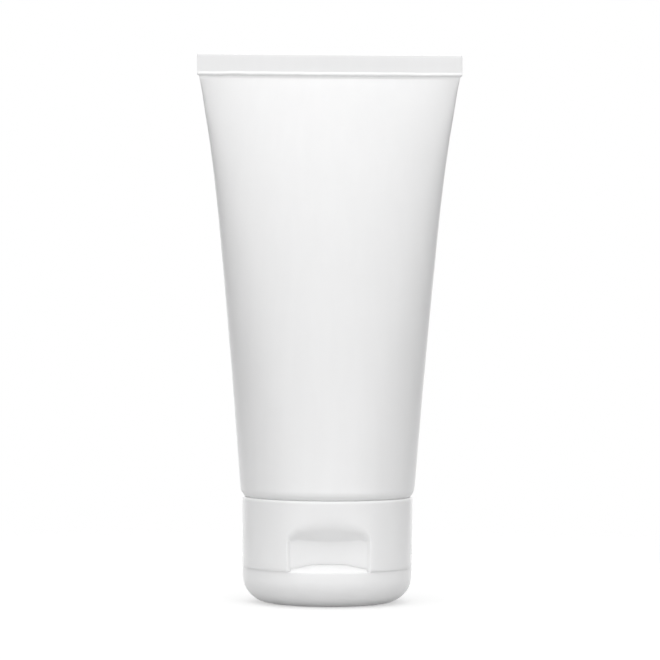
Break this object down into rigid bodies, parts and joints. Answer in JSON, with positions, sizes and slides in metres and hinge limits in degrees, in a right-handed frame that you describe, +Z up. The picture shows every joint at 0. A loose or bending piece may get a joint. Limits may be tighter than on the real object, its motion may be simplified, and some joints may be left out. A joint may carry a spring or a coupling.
{
  "type": "squeeze tube",
  "caption": "Plain soft squeeze tube of shaving cream that stands on its flip-top screw cap, with a flat crimped end on top and a thumb recess in the cap.",
  "frame": {"origin": "centre of the flat underside of the lid, which the tube stands on", "axes": "+Z up the tube to its crimped end, -Y towards the thumb recess, +Y towards the lid's hinge, X along the crimp"},
  "size_m": [0.0628, 0.041, 0.1295],
  "materials": {
    "sleeve_plastic": "soft satin white polyethylene film, faintly translucent",
    "head_plastic": "natural white polyethylene, satin",
    "foil": "thin peel-off foil, satin, lightly wrinkled",
    "washer_foam": "white foamed polyethylene, matte",
    "cap_plastic": "smooth semi-gloss white polypropylene",
    "cream": "smooth white shaving cream"
  },
  "bodies": {
    "tube": {"tube_sleeve": "sleeve_plastic", "tube_head": "head_plastic", "foil_seal": "foil", "cream_fill": "cream"},
    "seal": {"sealing_washer": "washer_foam"},
    "cap": {"cap_base": "cap_plastic", "hinge_film_left": "cap_plastic", "hinge_film_right": "cap_plastic", "snap_strap": "cap_plastic"},
    "lid": {"cap_lid": "cap_plastic"}
  },
  "joints": [
    {"name": "cap_lift", "type": "slide", "parent": "tube", "child": "seal", "axis": [0, 0, -1], "range_m": [0, 0.0096]},
    {"name": "cap_turn", "type": "hinge", "parent": "seal", "child": "cap", "pos_m": [0, 0, 0.0185], "axis": [0, 0, -1], "range_deg": [0, 1080]},
    {"name": "lid_hinge", "type": "hinge", "parent": "cap", "child": "lid", "pos_m": [0, 0.0192, 0.00847], "axis": [1, 0, 0], "range_deg": [0, 180], "deforming": ["hinge_film_left", "hinge_film_right", "snap_strap"]}
  ],
  "couplings": [
    {"joint": "cap_lift", "follows": "cap_turn", "m_per_rad": 0.00050929}
  ]
}
